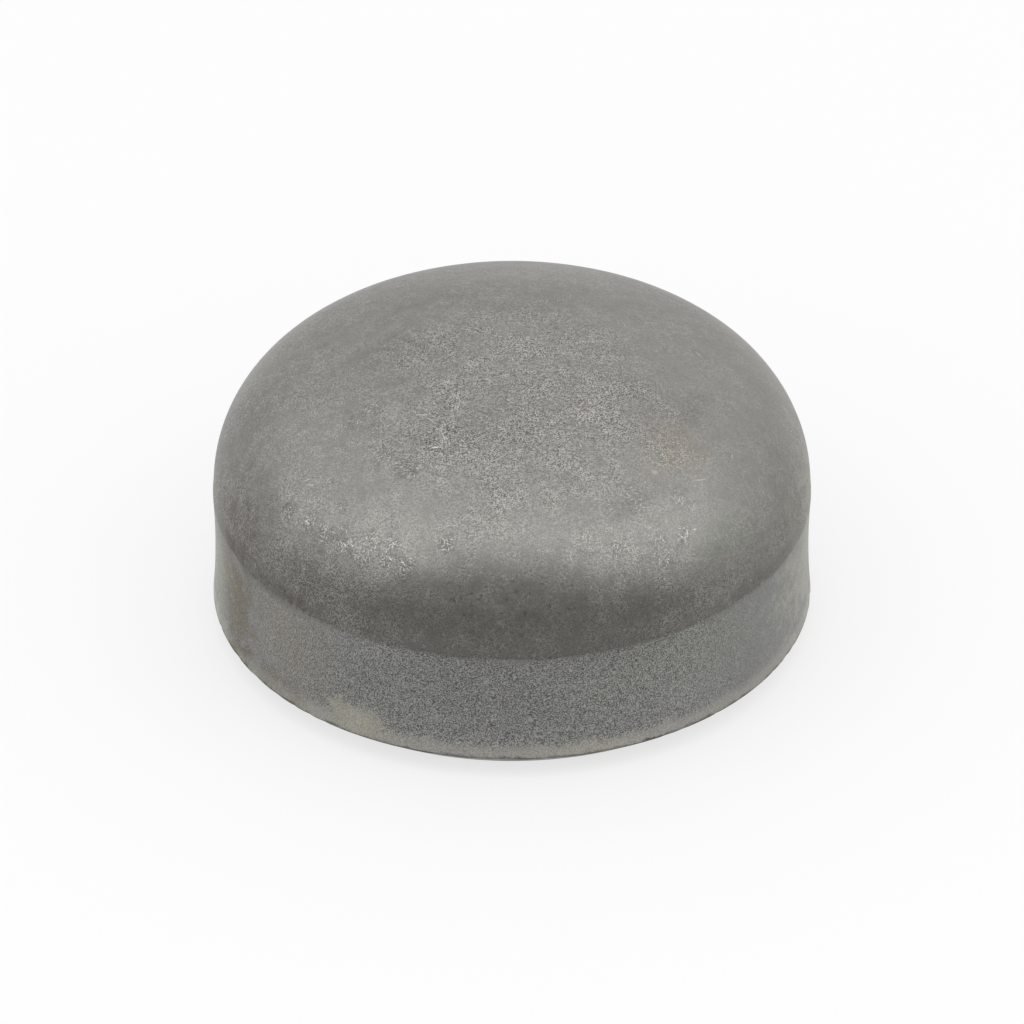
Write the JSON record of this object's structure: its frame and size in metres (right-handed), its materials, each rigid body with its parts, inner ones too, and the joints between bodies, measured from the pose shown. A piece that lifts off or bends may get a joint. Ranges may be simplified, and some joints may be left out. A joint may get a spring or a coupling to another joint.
{
  "type": "weld cap",
  "caption": "Domed butt-weld pipe cap in pressed steel, with a short skirt, a soft shoulder and a bevelled weld end, that closes the end of a pipe.",
  "frame": {"origin": "centre of the open weld end, on the axis, in the plane of the land that the cap stands on", "axes": "+Z along the axis, from the weld end up to the crown; X and Y are alike, because the cap is round"},
  "size_m": [0.073, 0.073, 0.0381],
  "materials": {
    "forged_steel": "dull hot-pressed grey skin, blasted and faintly stained"
  },
  "bodies": {
    "root": {"weld_cap": "forged_steel"}
  },
  "joints": []
}
